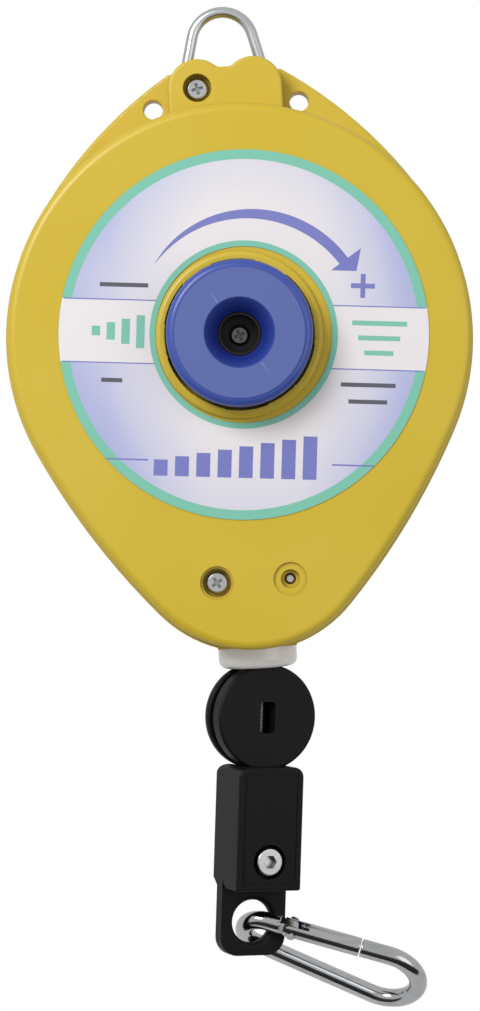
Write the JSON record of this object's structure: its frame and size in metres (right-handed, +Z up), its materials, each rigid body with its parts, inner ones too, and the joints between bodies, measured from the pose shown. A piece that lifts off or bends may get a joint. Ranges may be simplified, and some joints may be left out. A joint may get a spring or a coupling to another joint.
{
  "type": "tool balancer",
  "caption": "Spring tool balancer: yellow two-part casing with suspension bail and tension knob, wire rope with stop and clamp, and a steel snap hook for the tool.",
  "frame": {"origin": "hook seat: the inside of the suspension bail's crown, where a hanging hook bears", "axes": "+Z up through the seat, +X to the right seen from the knob's side, +Y to the back; the drum turns on an axis along Y"},
  "size_m": [0.1478, 0.059, 0.3218],
  "materials": {
    "casing_plastic": "lightly textured moulding",
    "label_film": "printed film",
    "knob_plastic": "smooth moulding",
    "hub_plastic": "satin",
    "guide_nylon": "turned nylon",
    "clamp_plastic": "scuffed moulding",
    "zinc_steel": "zinc plated",
    "rope_steel": "stranded wire",
    "hook_steel": "polished",
    "spring_steel": "blued",
    "arbor_steel": "turned",
    "drum_plastic": "moulded",
    "bush_bronze": "sintered",
    "crimp_aluminium": "crimped"
  },
  "bodies": {
    "housing": {"front_shell": "casing_plastic", "rear_shell": "casing_plastic", "suspension_bail": "zinc_steel", "front_casing_screws": "zinc_steel", "rear_casing_screws": "zinc_steel", "label_disc": "label_film", "rope_guide": "guide_nylon", "front_bush": "bush_bronze", "rear_bush": "bush_bronze", "rope_lead": "rope_steel"},
    "drum": {"rope_drum": "drum_plastic", "drum_cover": "drum_plastic", "drum_cover_screws": "zinc_steel", "drum_bushes": "bush_bronze", "rope_winding": "rope_steel", "rope_anchor": "crimp_aluminium", "mainspring": "spring_steel"},
    "adjuster": {"spring_arbor": "arbor_steel", "knob_hub": "hub_plastic", "hub_screw": "zinc_steel", "arbor_washer": "zinc_steel", "retaining_ring": "spring_steel"},
    "knob": {"adjust_knob": "knob_plastic", "knob_spring": "spring_steel"},
    "rope_end": {"rope_tail": "rope_steel"},
    "hanger": {"rope_stop": "clamp_plastic", "clamp_front": "clamp_plastic", "clamp_rear": "clamp_plastic", "clamp_screw": "zinc_steel", "clamp_nut": "zinc_steel", "rope_sleeve": "crimp_aluminium"},
    "carabiner": {"hook_body": "hook_steel", "gate_pin": "hook_steel"},
    "gate": {"hook_gate": "hook_steel", "gate_spring": "spring_steel"}
  },
  "joints": [
    {"name": "cable_pull", "type": "slide", "parent": "housing", "child": "rope_end", "axis": [-0.0889, 0, -0.996], "range_m": [0, 1.6], "stiffness_N_per_m": 1, "springref_m": -2.5, "deforming": ["rope_tail"]},
    {"name": "drum_spin", "type": "hinge", "parent": "housing", "child": "drum", "pos_m": [0, 0, -0.102], "axis": [0, -1, 0], "range_deg": [0, 2200]},
    {"name": "tension_set", "type": "hinge", "parent": "housing", "child": "adjuster", "pos_m": [0, 0, -0.102], "axis": [0, 1, 0], "range_deg": [-1080, 1800]},
    {"name": "knob_press", "type": "slide", "parent": "adjuster", "child": "knob", "axis": [0, 1, 0], "range_m": [0, 0.0035], "stiffness_N_per_m": 800, "springref_m": -0.004, "deforming": ["knob_spring"]},
    {"name": "rope_twist", "type": "hinge", "parent": "rope_end", "child": "hanger", "pos_m": [0.0012, 0, -0.203], "axis": [0.0889, 0, 0.996], "range_deg": [-180, 180], "stiffness_Nm_per_rad": 0.004},
    {"name": "carabiner_swing", "type": "hinge", "parent": "hanger", "child": "carabiner", "pos_m": [-0.00716, 0.00196, -0.28679], "axis": [0.4051, -0.9135, -0.0362], "range_deg": [-60, 15]},
    {"name": "gate_open", "type": "hinge", "parent": "carabiner", "child": "gate", "pos_m": [0.00598, -0.00014, -0.28971], "axis": [0.2858, 0.682, 0.6732], "range_deg": [0, 35], "stiffness_Nm_per_rad": 0.05, "springref_deg": -17.19}
  ],
  "couplings": [
    {"joint": "drum_spin", "follows": "cable_pull", "rad_per_m": 23.781}
  ]
}
